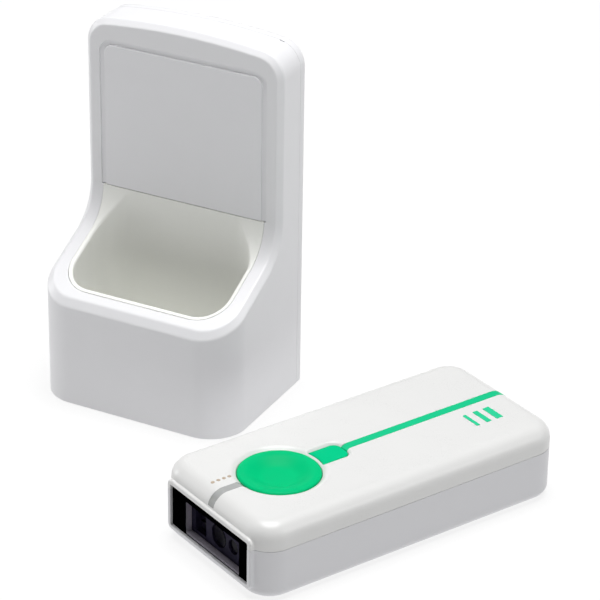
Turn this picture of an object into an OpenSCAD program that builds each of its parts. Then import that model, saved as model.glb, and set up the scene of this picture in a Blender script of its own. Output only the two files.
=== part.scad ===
// Cordless pocket scanner lying in front of its desk charging cradle.
// Millimetres, +Z up. Origin: centre of the cradle footprint on the table.
// The cradle faces -Y. Scanner parts are drawn in the scanner's own axes
// (x along its length from the window, z up) and set down by held().

/* [Cradle outside] */
// Width across the table
cradle_w = 58.6; // [50:0.1:70]
// Depth front to back
cradle_d = 43.8; // [36:0.1:56]
// Height at the middle of the crowned top
cradle_h = 101; // [80:0.5:130]
// Radius of the two front upright edges of the base block
base_front_r = 10.5; // [4:0.5:14]
// Radius of the two back upright edges
base_back_r = 3; // [1:0.5:6]
// Height of the rim line where it meets the front face
rim_z = 30.8; // [20:0.1:50]
// Slope of the rim from the horizontal
rim_slope = 25.6; // [10:0.1:45]
// Radius of the hollow curve from rim to upright
rim_hollow_r = 12.5; // [6:0.5:20]
// Front face to the face of the upright
upright_y = 28.9; // [24:0.1:36]
// Radius of the upright's top corners
upright_corner_r = 7.4; // [3:0.1:12]
// Radius of the crown across the top
top_crown_r = 190; // [120:5:400]
// Outer wall thickness
cradle_wall = 2; // [1.2:0.1:3]
// Gap between the housing underside and the table
cradle_gap = 0.4; // [0.2:0.1:1.5]

/* [Pocket] */
// Clear width of the pocket
pocket_w = 46.4; // [44.6:0.1:50]
// Radius of the pocket's upright corners
pocket_r = 7.5; // [3:0.5:10]
// Front face to the clear front wall of the pocket
pocket_front = 5.3; // [4:0.1:9]
// Height of the pocket floor
pocket_floor = 8.6; // [7:0.1:16]
// Wall thickness of the cup
cup_wall = 1.2; // [0.8:0.1:2]
// Height of the line where cup and back plate meet
cup_top = 52; // [46:0.5:60]

/* [Back plate] */
// Width of the raised panel
plate_w = 47; // [40:0.1:50]
// Height of the raised panel
plate_h = 40.6; // [30:0.1:44]
// Radius of its two upper corners
plate_r = 2.5; // [1:0.1:6]
// Width of the groove round it
plate_groove = 1.4; // [0.4:0.1:2]
// Depth of that groove
groove_t = 0.3; // [0.2:0.05:0.6]

/* [Scanner outside] */
// Back end, measured from the reference plane at the window
held_l = 93.3; // [85:0.1:110]
// Front end of the shells, from the same plane
shell_x0 = 1.1; // [0.6:0.1:2]
// Width
held_w = 44; // [38:0.1:50]
// Height of the top face above the table
held_h = 20.6; // [16:0.1:26]
// Height of the joint between the two shells
held_part_z = 13.9; // [10:0.1:16]
// Radius of the upright corners
held_corner_r = 7.2; // [4:0.1:10]
// Radius round the top face
held_top_r = 4.4; // [2:0.1:6]
// Radius round the underside
held_bottom_r = 2.6; // [1:0.1:4]
// Shell wall thickness
held_wall = 1.6; // [1:0.1:2.4]
// Distance the window collar stands forward of the shell
collar_out = 0.65; // [0.3:0.05:1]
// Width of the window collar
collar_w = 35.6; // [30:0.1:38]
// Window opening width
pane_w = 33; // [28:0.1:34]
// Lower edge of the window opening
pane_z0 = 3.8; // [3:0.1:6]
// Upper edge of the window opening
pane_z1 = 15.4; // [12:0.1:15.6]

/* [Scanner controls] */
// Distance from the window to the middle of the trigger
trigger_x = 21.5; // [18:0.1:26]
// Radius of the round trigger
trigger_r = 10.5; // [8:0.1:12]
// Travel of the trigger
trigger_travel = 0.5; // [0.2:0.1:1]
// Half width of the function key
key_hw = 3.3; // [2:0.1:4]
// Far end of the function key
key_x1 = 41; // [38:0.1:46]
// Travel of the function key
key_travel = 0.4; // [0.2:0.1:0.8]
// Width of the accent line
line_w = 2.5; // [1:0.1:3]
// Width of the light pipe
pipe_w = 2.3; // [1:0.1:3]

/* [Placement] */
// Where the window end of the scanner lies, across the table
held_at_x = 52.92; // [40:0.1:120]
// Where the window end of the scanner lies, towards the front
held_at_y = -74.71; // [-140:0.1:-40]
// Angle of the scanner on the table
held_turn = 63.35; // [0:0.05:180]

/* [Hidden] */
$fn = 64;
eps = 0.02;
fit_gap = 0.15;
y_front = -cradle_d / 2;
y_back = cradle_d / 2;
y_face = y_front + upright_y;
cover_t = 4.5;
y_seam = y_back - cover_t;
cup_out_w = pocket_w + 2 * cup_wall;
cup_out_r = pocket_r + cup_wall;
y_cup = y_front + pocket_front;
base_t = 2;
board_z = 3.6;
board_t = 1.2;
pin_y = -0.8;
pin_xs = [-7.5, -2.5, 2.5, 7.5];
pin_travel = 0.6;
pin_rest = pocket_floor + 0.1;
post_xy = [[-18.5, -7], [18.5, -7], [-18.5, 3.5], [18.5, 3.5]];
standoff_xy = [[-12, -5], [12, -5], [-12, 14], [12, 14]];
pad_size = [45, 31];
pad_t = 1;
inlet_w = 9;
inlet_h = 3.2;
held_gap = 0.35;
ceiling = held_h - held_wall;
ledge_z = 18.3;
pcb_z = 14.6;
pcb_t = 0.8;
pcb_top = pcb_z + pcb_t;
dish_w = 1.2;
dish_depth = 0.85;
trigger_drop = 0.35;
key_r0 = 11.5;
key_floor = held_h - 0.75;
key_drop = 0.5;
key_switch_x = 37;
line_t = 0.4;
line_x0 = key_x1 + 0.1;
line_x1 = key_x1 + 1.9;
line_drop = 0.6;
pipe_x0 = trigger_x - trigger_r - fit_gap - dish_w;
pipe_x1 = trigger_x - trigger_r - 0.25;
dot_x = [4.9, 6.55, 8.15, 9.75];
dot_y = 4.4;
dot_r = 0.5;
case_post = [[10.5, -16], [10.5, 16], [86.3, -16], [86.3, 16]];
board_post = [[48, -14.5], [48, 14.5], [76, 0]];
pane_x = 0.55;
pane_t = 0.6;
mask_t = 0.2;
gasket_x = 1.4;
gasket_t = 1.8;
engine_x0 = 3.25;
engine_x1 = 16;
engine_z0 = 3.2;
engine_z1 = 14.2;
lens_y = -0.7;
lens_z = 8.4;
lens_r = 3.1;
aim_y = -6.8;
aim_r = 2;
lamp_y = [4.8, 9.4];
lamp_z = [5.2, 11.8];
battery_size = [38, 33, 7];
battery_x = 42;
contact_z = 7;

// Node to draw, or all of them

white = [0.93, 0.93, 0.92];
green = [0.0, 0.76, 0.5];
black = [0.06, 0.06, 0.07];
grey = [0.62, 0.62, 0.62];
pcb = [0.05, 0.32, 0.18];
steel = [0.72, 0.73, 0.75];
gold = [0.85, 0.68, 0.3];

// ---------- shared shapes ----------

// Plan outline centred on the origin, with its own front (-Y) and back radii.
module plan(w, d, rf, rb) {
  translate([-w / 2, -d / 2 + rf]) square([w, d - rf - rb]);
  translate([-w / 2 + rf, -d / 2]) square([w - 2 * rf, rf + eps]);
  translate([-w / 2 + rb, d / 2 - rb - eps]) square([w - 2 * rb, rb + eps]);
  for (s = [-1, 1]) {
    translate([s * (w / 2 - rf), -d / 2 + rf]) circle(rf);
    translate([s * (w / 2 - rb), d / 2 - rb]) circle(rb);
  }
}

// Same outline between two depths.
module plan_between(w, y0, y1, rf, rb) {
  translate([0, (y0 + y1) / 2]) plan(w, y1 - y0, rf, rb);
}

// Rectangle with rounded corners lying in the Y-Z plane, standing from x to x + t.
module yz_plate(x, t, w, z0, z1, r) {
  translate([x, 0, (z0 + z1) / 2]) rotate([90, 0, 90]) linear_extrude(t) plan(w, z1 - z0, r, r);
}

// Same, standing in the X-Z plane from y to y + t.
module xz_plate(y, t, w, z0, z1, rb, rt) {
  translate([0, y + t, (z0 + z1) / 2]) rotate([90, 0, 0]) linear_extrude(t)
    plan(w, z1 - z0, rb, rt);
}

module screw(head_r, head_h, shank_r, shank_h) {
  difference() {
    cylinder(h = head_h, r = head_r);
    for (a = [0, 90]) rotate(a) translate([-head_r * 0.6, -head_r * 0.11, -eps])
      cube([head_r * 1.2, head_r * 0.22, head_h * 0.5]);
  }
  translate([0, 0, head_h - eps]) cylinder(h = shank_h + eps, r = shank_r);
}

// ---------- cradle ----------

// Height of the rim line at depth y, set in by o.
function rim_at(y, o) = rim_z + (y - y_front) * tan(rim_slope) - o / cos(rim_slope);

// Side outline in Y-Z, set in by o on the front, rim and upright face.
module side_outline(o, z0, top) {
  cy = y_face - rim_hollow_r;
  cz = rim_at(cy, 0) + rim_hollow_r / cos(rim_slope);
  r = rim_hollow_r + o;
  polygon([[y_front + o, z0], [y_front + o, rim_at(y_front + o, o)],
    [y_face + o, rim_at(y_face + o, o)], [y_face + o, top], [y_back, top], [y_back, z0]]);
  difference() {
    polygon([[cy + r * sin(rim_slope), cz - r * cos(rim_slope)],
      [y_face + o, rim_at(y_face + o, o) - eps], [y_face + o + eps, cz]]);
    translate([cy, cz]) circle(r, $fn = 96);
  }
}

// Front outline in X-Z: straight sides, round corners, crowned top.
module front_outline(o) {
  rc = upright_corner_r - o;
  hw = cradle_w / 2 - o;
  top_r = top_crown_r - o;
  crown_z = cradle_h - top_crown_r;
  dx = hw - rc;
  zc = crown_z + sqrt(pow(top_r - rc, 2) - dx * dx);
  reach = (top_r + 20) / (top_r - rc);
  translate([-hw, 0]) square([2 * hw, zc]);
  for (s = [-1, 1]) translate([s * dx, zc]) circle(rc);
  intersection() {
    translate([0, crown_z]) circle(top_r, $fn = 180);
    polygon([[0, crown_z], [dx * reach, crown_z + (zc - crown_z) * reach],
      [-dx * reach, crown_z + (zc - crown_z) * reach]]);
    translate([-hw, 0]) square([2 * hw, cradle_h + 1]);
  }
}

// Solid envelope of the cradle, set in by o.
module cradle_solid(o, z0, y1) {
  intersection() {
    translate([0, 0, z0]) linear_extrude(cradle_h)
      plan_between(cradle_w - 2 * o, y_front + o, y_back, base_front_r - o, base_back_r);
    translate([-cradle_w / 2, 0, 0]) rotate([90, 0, 90]) linear_extrude(cradle_w)
      side_outline(o, z0, cradle_h + 1);
    translate([0, y1, 0]) rotate([90, 0, 0]) linear_extrude(y1 - y_front) front_outline(o);
  }
}

module cup_outline(g) {
  plan_between(cup_out_w + 2 * g, y_cup - cup_wall - g, y_face + cup_wall + g, cup_out_r, 0.5);
}

// Panel outline in X-Z, grown by g, square at the bottom and round at the top.
module panel(y, t, g) {
  xz_plate(y, t, plate_w + 2 * g, cup_top, cup_top + plate_h + g, 0.1, plate_r + g);
}

module cradle_shell() color(white) {
  difference() {
    cradle_solid(0, cradle_gap, y_seam);
    cradle_solid(cradle_wall, -1, y_back + 1);
    intersection() {
      translate([0, 0, -1]) linear_extrude(cup_top + 1) cup_outline(fit_gap);
      translate([-30, y_front, 0]) cube([60, y_face - y_front + 1.4, 100]);
    }
    panel(y_face - 1, 1 + 1.2, plate_groove);
    for (sx = [-1, 1], z = [60, 84])
      translate([sx * 18, y_face - 1, z]) rotate([-90, 0, 0]) cylinder(h = 6, r = 1.6);
    // notch for opening the cover
    translate([cradle_w / 2 - 6.2, y_seam - 0.5, cradle_h - 9]) cube([1.4, 1, 10]);
  }
  // ledges the base plate seats against
  for (sx = [-1, 1]) translate([sx * (cradle_w / 2 - cradle_wall - 0.6) - 0.7, -8, cradle_gap + base_t])
    cube([1.4, 16, 1.5]);
}

module cup_liner() color(white) {
  difference() {
    intersection() {
      translate([0, 0, pocket_floor - 1.6]) linear_extrude(60) cup_outline(0);
      translate([-40, 0, 0]) rotate([90, 0, 90]) linear_extrude(80) side_outline(0, 0, cup_top);
      translate([-40, y_front, 0]) cube([80, y_face + cup_wall - y_front, cup_top]);
    }
    translate([0, 0, pocket_floor]) linear_extrude(80)
      plan_between(pocket_w, y_cup, y_face, pocket_r, pocket_r);
    for (x = pin_xs) translate([x, pin_y, 0]) cylinder(h = 20, r = 0.7);
  }
  for (sx = [-1, 1]) translate([sx * (cup_out_w / 2 + 0.4) - 0.5, -9, 33]) cube([1, 6, 2.4]);
  for (p = post_xy) translate([p[0], p[1], cradle_gap + base_t]) difference() {
    cylinder(h = pocket_floor - 1.6 - cradle_gap - base_t + 0.2, r = 2.4);
    translate([0, 0, -1]) cylinder(h = 5, r = 0.95);
  }
}

module back_plate() color(white) {
  panel(y_face, groove_t + eps, 0);
  panel(y_face + groove_t, 1.2 - groove_t, plate_groove - 0.1);
  for (sx = [-1, 1], z = [60, 84]) translate([sx * 18, y_face + 1, z]) rotate([-90, 0, 0]) {
    cylinder(h = 2.4, r = 1.5);
    translate([0, 0, 1.5]) cylinder(h = 0.9, r = 1.9);
  }
}

module rear_cover() color(white) {
  difference() {
    intersection() {
      cradle_solid(0, cradle_gap, y_back);
      translate([-40, y_seam, 0]) cube([80, cover_t, 120]);
    }
    intersection() {
      cradle_solid(1.8, 2.2, y_back);
      translate([-40, y_seam - 1, 0]) cube([80, 2.2, 120]);
    }
    xz_plate(y_seam - 1, 6, inlet_w + 1.4, board_z + board_t - 0.4, board_z + board_t + inlet_h + 0.5, 1, 1);
  }
  // snap hooks that reach into the housing
  for (sx = [-1, 1], z = [28, 72])
    translate([sx * (cradle_w / 2 - cradle_wall - 1.4) - 0.6, y_seam - 4, z]) {
      cube([1.2, 5.5, 5]);
      translate([sx * 0.4, 0, 0]) cube([1.2, 1.2, 5]);
    }
}

module base_plate() color(grey) difference() {
  union() {
    translate([0, 0, cradle_gap]) linear_extrude(base_t)
      plan_between(cradle_w - 2 * cradle_wall - 0.4, y_front + cradle_wall + 0.2, y_seam - 0.2,
        base_front_r - cradle_wall, 1.2);
    for (p = standoff_xy) translate([p[0], p[1], 1.5]) cylinder(h = board_z - 1.5, r = 1.5);
  }
  for (p = post_xy) translate([p[0], p[1], 0]) {
    translate([0, 0, -1]) cylinder(h = 5, r = 1.15);
    translate([0, 0, -1]) cylinder(h = 2.8, r = 2.1);
  }
  translate([0, 0, -1]) linear_extrude(1 + pad_t) plan(pad_size[0], pad_size[1], 4, 4);
}

module base_pad() color(black)
  linear_extrude(pad_t) plan(pad_size[0] - 0.2, pad_size[1] - 0.2, 3.9, 3.9);

module base_screws() color(steel)
  for (p = post_xy) translate([p[0], p[1], pad_t + 0.05]) screw(1.9, 0.75, 0.95, 3.6);

module charging_board() color(pcb) translate([0, 0, board_z]) linear_extrude(board_t)
  plan_between(30, -8, y_seam - 0.4, 1, 1);

module power_inlet() color(steel) difference() {
  xz_plate(y_back - 8.2, 7.4, inlet_w, board_z + board_t, board_z + board_t + inlet_h, 1.1, 1.1);
  xz_plate(y_back - 7.4, 7, inlet_w - 0.7, board_z + board_t + 0.35,
    board_z + board_t + inlet_h - 0.35, 0.8, 0.8);
}

module pin_block() color(black) difference() {
  translate([-10, pin_y - 2, board_z + board_t]) cube([20, 4, 7 - board_z - board_t]);
  for (x = pin_xs) translate([x, pin_y, board_z + board_t + 0.1]) cylinder(h = 5, r = 1.1);
}

module contact_pins() color(gold) for (x = pin_xs) translate([x, pin_y, 0]) {
  translate([0, 0, 6.35]) cylinder(h = 0.6, r = 1);
  translate([0, 0, 6.9]) cylinder(h = pin_rest - 6.9, r = pin_travel);
  translate([0, 0, pin_rest - eps]) sphere(pin_travel);
}

module pin_springs() color(steel) for (x = pin_xs) translate([x, pin_y, board_z + board_t + 0.1])
  linear_extrude(height = 1.45, twist = -1080, slices = 42, $fn = 6)
    translate([0.75, 0]) circle(0.12, $fn = 6);

// ---------- scanner ----------

module held() translate([held_at_x, held_at_y, 0]) rotate([0, 0, held_turn]) children();

// Half section of a rounded post: radius r, from z0 to z1, edge radii rb and rt.
module half_section(r, z0, z1, rb, rt) {
  translate([0, z0 + rb]) square([r, z1 - z0 - rb - rt]);
  translate([0, z0]) square([r - rb, rb + eps]);
  translate([0, z1 - rt - eps]) square([r - rt, rt + eps]);
  translate([r - rb, z0 + rb]) intersection() { circle(rb); translate([0, -rb]) square(rb); }
  translate([r - rt, z1 - rt]) intersection() { circle(rt); square(rt); }
}

// Full section: two half sections w apart.
module full_section(w, r, z0, z1, rb, rt) {
  translate([-w / 2 + r, z0]) square([w - 2 * r, z1 - z0]);
  for (m = [0, 1]) mirror([m, 0]) translate([w / 2 - r, 0]) half_section(r, z0, z1, rb, rt);
}

// Box with upright corners of radius rc and rounded top and bottom edges.
module soft_box(x0, x1, w, z0, z1, rc, rb, rt) {
  l = x1 - x0;
  translate([(x0 + x1) / 2, 0, 0]) {
    for (sx = [-1, 1], sy = [-1, 1]) translate([sx * (l / 2 - rc), sy * (w / 2 - rc), 0])
      rotate_extrude() half_section(rc, z0, z1, rb, rt);
    translate([-l / 2 + rc, 0, 0]) rotate([90, 0, 90]) linear_extrude(l - 2 * rc)
      full_section(w, rc, z0, z1, rb, rt);
    translate([0, w / 2 - rc, 0]) rotate([90, 0, 0]) linear_extrude(w - 2 * rc)
      full_section(l, rc, z0, z1, rb, rt);
  }
}

module held_outside() {
  soft_box(shell_x0, held_l, held_w, held_gap, held_h, held_corner_r, held_bottom_r, held_top_r);
  yz_plate(shell_x0 - collar_out, collar_out + 1, collar_w, pane_z0 - 1.1, pane_z1 + 1.3, 1.7);
}

module held_inside() {
  w = held_wall;
  soft_box(shell_x0 + w, held_l - w, held_w - 2 * w, held_gap + w, held_h - w,
    held_corner_r - w, held_bottom_r - w, held_top_r - w);
}

module window_hole() yz_plate(-1, 5, pane_w, pane_z0, pane_z1, 0.4);

module above_joint() translate([-5, -30, held_part_z]) cube([120, 60, 20]);
module below_joint() translate([-5, -30, -5]) cube([120, 60, held_part_z + 5]);

// Function key outline grown by g: hollow end round the trigger, soft far corners.
module key_plan(g) {
  r = 2.2 + g;
  difference() {
    translate([trigger_x, -key_hw - g]) square([key_x1 + g - r - trigger_x, 2 * (key_hw + g)]);
    translate([trigger_x, 0]) circle(key_r0 - g);
  }
  for (s = [-1, 1]) translate([key_x1 + g - r, s * (key_hw + g - r)]) circle(r);
  translate([key_x1 + g - r - eps, -key_hw - g + r]) square([r + eps, 2 * (key_hw + g - r)]);
}

function arc_points(c, r, a0, a1) =
  [for (i = [0 : 16]) c + r * [cos(a0 + (a1 - a0) * i / 16), sin(a0 + (a1 - a0) * i / 16)]];

// Side outline in X-Z of the accent line: t thick, standing o proud. It climbs out of the
// key's recess, runs along the top and turns down over the back edge to the shell joint.
module line_side(t, o) {
  r = held_top_r;
  c = [held_l - r, held_h - r];
  z0 = held_part_z + 0.1;
  polygon(concat(
    [[line_x0, held_h - line_drop + o], [line_x1, held_h + o]], arc_points(c, r + o, 90, 0),
    [[held_l + o, z0], [held_l - t, z0]], arc_points(c, r - t, 0, 90),
    [[line_x1, held_h - t], [line_x0, held_h - line_drop - t]]));
}

// Side outline in X-Z of the light pipe, from x1 in the trigger's hollow over the front edge.
module pipe_side(t, o, x1) {
  r = held_top_r;
  c = [shell_x0 + r, held_h - r];
  z1 = held_h - (x1 - pipe_x0) * dish_depth / dish_w;
  polygon(concat([[pipe_x0, held_h - t], [x1, z1 - t], [x1, z1 + o], [pipe_x0, held_h + o]],
    arc_points(c, r + o, 90, 168), arc_points(c, r - t, 168, 90)));
}

module along_y(w) translate([0, w / 2, 0]) rotate([90, 0, 0]) linear_extrude(w) children();

module top_shell() color(white) held() {
  difference() {
    intersection() { held_outside(); above_joint(); }
    difference() {
      intersection() { held_inside(); above_joint(); }
      // thick ring round the trigger and key openings
      translate([trigger_x, 0, ledge_z]) cylinder(h = 5, r = 14);
      translate([trigger_x, -6, ledge_z]) cube([key_x1 + 2.4 - trigger_x, 12, 5]);
    }
    window_hole();
    translate([trigger_x, 0, 10]) cylinder(h = 20, r = trigger_r + fit_gap);
    translate([trigger_x, 0, held_h - dish_depth])
      cylinder(h = dish_depth + eps, r1 = trigger_r + fit_gap, r2 = trigger_r + fit_gap + dish_w);
    translate([0, 0, 10]) linear_extrude(20) key_plan(fit_gap);
    translate([0, 0, key_floor]) linear_extrude(3) key_plan(0.7);
    along_y(line_w) line_side(line_t, 0.3);
    along_y(pipe_w) pipe_side(0.8, 0.3, pipe_x1 + 0.3);
    translate([8.5, 0, 10]) cylinder(h = 10, r = 0.8);
    for (x = dot_x) translate([x, dot_y, 10]) cylinder(h = 20, r = dot_r);
    bars(0.15);
  }
  for (p = case_post) translate([p[0], p[1], 10.1]) difference() {
    cylinder(h = ceiling - 10.1 + 0.3, r = 2.3);
    translate([0, 0, -1]) cylinder(h = 6, r = 0.95);
  }
  for (p = board_post) translate([p[0], p[1], pcb_top]) difference() {
    cylinder(h = ceiling - pcb_top + 0.3, r = 1.9);
    translate([0, 0, -1]) cylinder(h = 3.6, r = 0.75);
  }
}

module bottom_shell() color(white) held() {
  difference() {
    intersection() { held_outside(); below_joint(); }
    held_inside();
    window_hole();
    for (p = case_post) translate([p[0], p[1], 0]) {
      cylinder(h = 0.8, r = 3);
      cylinder(h = 2.1, r = 2);
      cylinder(h = 5, r = 1.1);
    }
    for (y = pin_xs) translate([80, y, contact_z]) rotate([0, 90, 0]) cylinder(h = 20, r = 1.3);
  }
  for (p = case_post) translate([p[0], p[1], 1.4]) difference() {
    cylinder(h = 8.6, r = 2.8);
    translate([0, 0, -1]) cylinder(h = 1.7, r = 2);
    cylinder(h = 12, r = 1.1);
  }
  // ribs under the scan engine and at both ends of the battery
  for (x = [7, 13]) translate([x, -10, held_gap + held_wall - 0.2])
    cube([1, 20, engine_z0 - held_gap - held_wall + 0.2]);
  for (x = [battery_x - 1.2, battery_x + battery_size[0] + 0.2])
    translate([x, -12, held_gap + held_wall - 0.2]) cube([1, 24, 4]);
}

module scan_window() color([0.2, 0.22, 0.3, 0.5]) held()
  yz_plate(pane_x, pane_t, pane_w - 0.1, pane_z0 + 0.05, pane_z1 - 0.05, 0.35);

// Black frame stuck to the back of the pane.
module window_mask() color(black) held() difference() {
  yz_plate(pane_x + pane_t, mask_t, pane_w - 0.1, pane_z0 + 0.05, pane_z1 - 0.05, 0.35);
  translate([0, -12.2, pane_z0 + 0.15]) cube([3, 23, pane_z1 - pane_z0 - 2.35]);
}

// Foam ring that keeps dust off the scan engine.
module window_gasket() color(grey) held() difference() {
  yz_plate(gasket_x, gasket_t, 28.2, pane_z0 + 0.1, pane_z1 - 0.5, 0.5);
  translate([0, -12.4, pane_z0 + 0.5]) cube([6, 23.4, pane_z1 - pane_z0 - 2.4]);
}

module trigger_button() color(green) held() translate([trigger_x, 0, 0]) {
  difference() {
    translate([0, 0, ledge_z - 0.8])
      cylinder(h = held_h - trigger_drop - ledge_z + 0.8, r = trigger_r);
    translate([0, 0, held_h + 23.9]) sphere(26, $fn = 128);
    translate([0, 0, ledge_z - 2]) cylinder(h = 1.7, r = trigger_r - 1.4);
  }
  translate([0, 0, ledge_z - 0.8]) difference() {
    cylinder(h = 0.75, r = trigger_r + 0.6);
    translate([0, 0, -1]) cylinder(h = 3, r = trigger_r - 1.4);
  }
  translate([0, 0, 17]) cylinder(h = 1.4, r = 1.6);
}

module trigger_plunger() color(black) held()
  translate([trigger_x, 0, 16]) cylinder(h = 1, r = 1);

module trigger_switch() color(steel) held() translate([trigger_x, 0, pcb_top]) difference() {
  translate([-2.6, -2.6, 0]) cube([5.2, 5.2, 1]);
  translate([0, 0, 0.05]) cylinder(h = 2, r = 1.1);
}

module function_key() color(green) held() {
  translate([0, 0, ledge_z - 0.05]) linear_extrude(held_h - key_drop + 0.05 - ledge_z) key_plan(0);
  translate([trigger_x + 13, -key_hw - 0.6, ledge_z - 0.75])
    cube([key_x1 - trigger_x - 12.4, 2 * key_hw + 1.2, 0.7 + eps]);
  translate([key_switch_x, 0, 17.3]) cylinder(h = 0.5, r = 1.2);
}

module key_plunger() color(black) held()
  translate([key_switch_x, 0, 16.1]) cylinder(h = 1.2, r = 0.8);

module key_switch() color(steel) held() translate([key_switch_x, 0, pcb_top]) difference() {
  translate([-1.8, -1.8, 0]) cube([3.6, 3.6, 1.1]);
  translate([0, 0, 0.2]) cylinder(h = 2, r = 0.9);
}

module accent_line() color(green) held() along_y(line_w) line_side(line_t, 0);

module light_pipe() color([0.8, 0.8, 0.8, 0.7]) held() {
  along_y(pipe_w) pipe_side(0.8, 0, pipe_x1);
  translate([8.5, 0, 16.3]) cylinder(h = held_h - 0.6 - 16.3, r = 0.8);
}

module read_led() color([0.95, 0.95, 0.6]) held()
  translate([7.7, -0.4, pcb_top]) cube([1.6, 0.8, 0.7]);

module status_lenses() color([0.75, 0.6, 0.5]) held() intersection() {
  for (x = dot_x) translate([x, dot_y, 16.3]) cylinder(h = 6, r = dot_r);
  held_outside();
}

module status_leds() color([0.95, 0.95, 0.6]) held()
  for (x = dot_x) translate([x - 0.5, dot_y - 0.4, pcb_top]) cube([1, 0.8, 0.6]);

// Three short printed bars on the top face near the back end.
module bars(t) for (k = [0 : 2])
  translate([75 + k * 3.2, -10.5, held_h - t]) cube([1 + 0.5 * k, 6, t + 0.01]);

module printed_bars() color(green) held() intersection() {
  bars(0.15);
  translate([0, -20, 0]) cube([100, 40, held_h]);
}

module main_board() color(pcb) held() difference() {
  translate([45.6, 0, pcb_z]) linear_extrude(pcb_t) plan(84.8, 36, 2, 2);
  for (p = case_post) translate([p[0], p[1], pcb_z - 1]) cylinder(h = 3, r = 3.1);
  for (p = board_post) translate([p[0], p[1], pcb_z - 1]) cylinder(h = 3, r = 0.9);
}

module board_screws() color(steel) held()
  for (p = board_post) translate([p[0], p[1], pcb_z - 0.9]) screw(1.5, 0.9, 0.75, 3.2);

module engine_housing() color(black) held() difference() {
  translate([engine_x0, -13, engine_z0]) cube([engine_x1 - engine_x0, 25, engine_z1 - engine_z0]);
  translate([engine_x0 - 1, lens_y, lens_z]) rotate([0, 90, 0]) cylinder(h = 9, r = lens_r);
  translate([engine_x0 - 1, aim_y, lens_z]) rotate([0, 90, 0]) cylinder(h = 7, r = aim_r);
  translate([engine_x0 - 1, lamp_y[0], lamp_z[0]])
    cube([3, lamp_y[1] - lamp_y[0], lamp_z[1] - lamp_z[0]]);
}

module engine_lens() color([0.25, 0.25, 0.4]) held()
  translate([engine_x0 + 0.6, lens_y, lens_z]) rotate([0, 90, 0]) difference() {
    cylinder(h = 7.2, r = lens_r - 0.05);
    translate([0, 0, -5.5]) sphere(6.2);
  }

module aimer_lens() color([0.3, 0.3, 0.5]) held()
  translate([engine_x0 + 0.5, aim_y, lens_z]) rotate([0, 90, 0]) cylinder(h = 5, r = aim_r - 0.05);

module light_leds() color([0.95, 0.95, 0.8]) held()
  for (z = lamp_z) translate([engine_x0 + 0.9, (lamp_y[0] + lamp_y[1]) / 2 - 1.2,
    z + (z < lens_z ? 0.5 : -2.9)]) cube([1, 2.4, 2.4]);

module engine_board() color(pcb) held()
  translate([engine_x1 + 0.1, -12.5, engine_z0 + 0.3]) cube([1, 24, engine_z1 - engine_z0 - 0.6]);

module battery() color([0.3, 0.45, 0.7]) held()
  translate([battery_x + battery_size[0] / 2, 0, held_gap + held_wall + 0.1])
    linear_extrude(battery_size[2]) plan(battery_size[0], battery_size[1], 1.5, 1.5);

module buzzer() color(black) held() translate([31, -11, pcb_z - 3.1]) difference() {
  cylinder(h = 3.1, r = 4.5);
  translate([0, 0, -1]) cylinder(h = 1.6, r = 0.8);
}

module charge_contacts() color(gold) held() for (y = pin_xs)
  translate([90.9, y, contact_z]) rotate([0, 90, 0]) cylinder(h = held_l - 90.9 - 0.1, r = 1.28);

module contact_board() color(pcb) held()
  translate([89.9, -10, 3]) cube([1, 20, 8]);

module case_screws() color(steel) held()
  for (p = case_post) translate([p[0], p[1], 0.9]) screw(1.85, 1.15, 0.94, 12.5);

module grip_pads() color(black) held()
  for (p = case_post) translate([p[0], p[1], 0]) cylinder(h = 0.8, r = 2.9);

cradle_shell();
cup_liner();
back_plate();
rear_cover();
base_plate();
base_pad();
base_screws();
charging_board();
power_inlet();
pin_block();
contact_pins();
pin_springs();
top_shell();
bottom_shell();
scan_window();
window_mask();
window_gasket();
trigger_button();
trigger_plunger();
trigger_switch();
function_key();
key_plunger();
key_switch();
accent_line();
light_pipe();
read_led();
status_lenses();
status_leds();
printed_bars();
main_board();
board_screws();
engine_housing();
engine_lens();
aimer_lens();
light_leds();
engine_board();
battery();
buzzer();
charge_contacts();
contact_board();
case_screws();
grip_pads();
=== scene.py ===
# Looks for a cordless pocket scanner lying in front of its charging cradle.
# Shell shapes are written as distance fields in millimetres and turned into meshes by contour().
# Lengths are in mm until make() turns them into metres; only the stage is written in metres.
import bmesh
import bpy
import math
import numpy as np
from mathutils import Matrix, Quaternion, Vector


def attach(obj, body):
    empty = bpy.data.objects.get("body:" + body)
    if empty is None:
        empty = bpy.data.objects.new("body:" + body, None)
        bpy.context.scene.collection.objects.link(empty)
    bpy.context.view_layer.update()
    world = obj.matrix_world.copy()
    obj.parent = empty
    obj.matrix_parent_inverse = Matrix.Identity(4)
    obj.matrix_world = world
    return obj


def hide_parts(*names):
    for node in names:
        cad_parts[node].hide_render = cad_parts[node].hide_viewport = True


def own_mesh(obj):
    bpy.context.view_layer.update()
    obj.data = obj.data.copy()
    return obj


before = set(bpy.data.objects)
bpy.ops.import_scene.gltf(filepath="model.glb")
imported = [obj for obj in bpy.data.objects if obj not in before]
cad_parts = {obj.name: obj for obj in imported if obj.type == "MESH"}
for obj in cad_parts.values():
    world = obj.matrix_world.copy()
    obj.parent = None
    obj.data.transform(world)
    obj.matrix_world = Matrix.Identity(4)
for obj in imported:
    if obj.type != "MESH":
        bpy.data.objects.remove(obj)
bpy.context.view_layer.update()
MM = 0.001

# ---------------------------------------------------------------- dimensions (mm), as in the CAD
INSET = 0.025                       # keeps the shells' outsides just inside the CAD's box

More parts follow.
